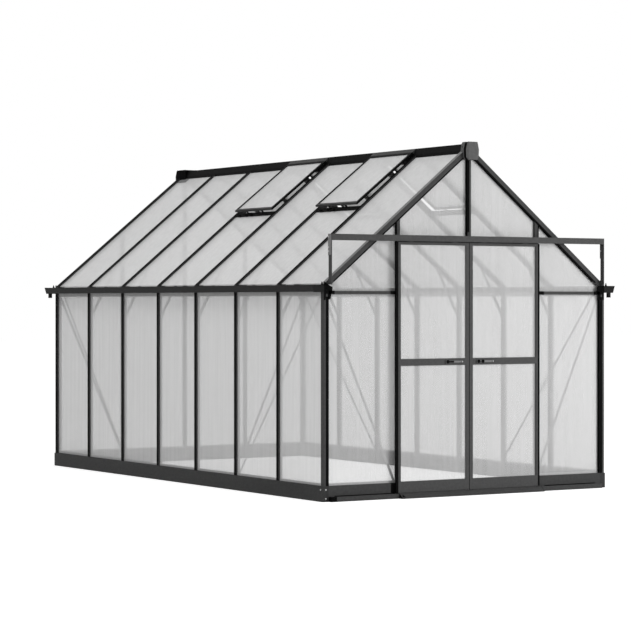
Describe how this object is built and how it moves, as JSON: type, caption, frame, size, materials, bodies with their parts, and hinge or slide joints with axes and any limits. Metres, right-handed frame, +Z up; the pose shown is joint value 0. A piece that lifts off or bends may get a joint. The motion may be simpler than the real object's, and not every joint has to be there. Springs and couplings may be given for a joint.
{
  "type": "polycarbonate greenhouse",
  "caption": "Gabled greenhouse of dark aluminium bars and clear twin-wall sheets, with double sliding doors, side gutters and propped roof vents.",
  "frame": {"origin": "middle of the footprint's bounding box, at ground level", "axes": "+Z up, -Y out of the gable with the sliding doors, +X to the right as that gable is faced"},
  "size_m": [2.672, 4.428, 2.5406],
  "materials": {
    "dark_frame": "matt dark grey powder coat on aluminium",
    "grey_metal": "grey coated aluminium strip",
    "twin_wall_sheet": "clear fluted twin-wall polycarbonate",
    "black_plastic": "black moulded plastic",
    "latch_metal": "satin grey latch",
    "wheel_plastic": "dark nylon wheels on plates"
  },
  "bodies": {
    "building": {"base_front": "dark_frame", "base_back": "dark_frame", "base_left": "dark_frame", "base_right": "dark_frame", "bottom_track": "dark_frame", "door_threshold": "dark_frame", "corner_posts": "dark_frame", "left_wall_posts": "dark_frame", "right_wall_posts": "dark_frame", "left_eave_beam": "dark_frame", "right_eave_beam": "dark_frame", "left_gutter": "dark_frame", "right_gutter": "dark_frame", "gutter_fittings": "black_plastic", "left_rafters": "dark_frame", "right_rafters": "dark_frame", "ridge_beam": "dark_frame", "ridge_caps": "dark_frame", "front_gable_posts": "dark_frame", "front_gable_rails": "dark_frame", "back_gable_posts": "dark_frame", "back_gable_rails": "dark_frame", "door_header_rail": "dark_frame", "header_struts": "dark_frame", "left_wall_panels": "twin_wall_sheet", "right_wall_panels": "twin_wall_sheet", "front_gable_panels": "twin_wall_sheet", "back_gable_panels": "twin_wall_sheet", "left_roof_panels": "twin_wall_sheet", "right_roof_panels": "twin_wall_sheet", "vent_sills": "dark_frame", "vent_sashes": "dark_frame", "vent_panes": "twin_wall_sheet", "vent_hinges": "grey_metal", "vent_stays": "black_plastic", "flat_braces": "grey_metal", "knee_braces": "grey_metal"},
    "left_door": {"left_door_frame": "dark_frame", "left_door_panes": "twin_wall_sheet", "left_door_handle": "latch_metal", "left_door_hangers": "wheel_plastic"},
    "right_door": {"right_door_frame": "dark_frame", "right_door_panes": "twin_wall_sheet", "right_door_handle": "latch_metal", "right_door_hangers": "wheel_plastic"}
  },
  "joints": [
    {"name": "left_door_slide", "type": "slide", "parent": "building", "child": "left_door", "axis": [-1, 0, 0], "range_m": [0, 0.545]},
    {"name": "right_door_slide", "type": "slide", "parent": "building", "child": "right_door", "axis": [1, 0, 0], "range_m": [0, 0.545]}
  ]
}
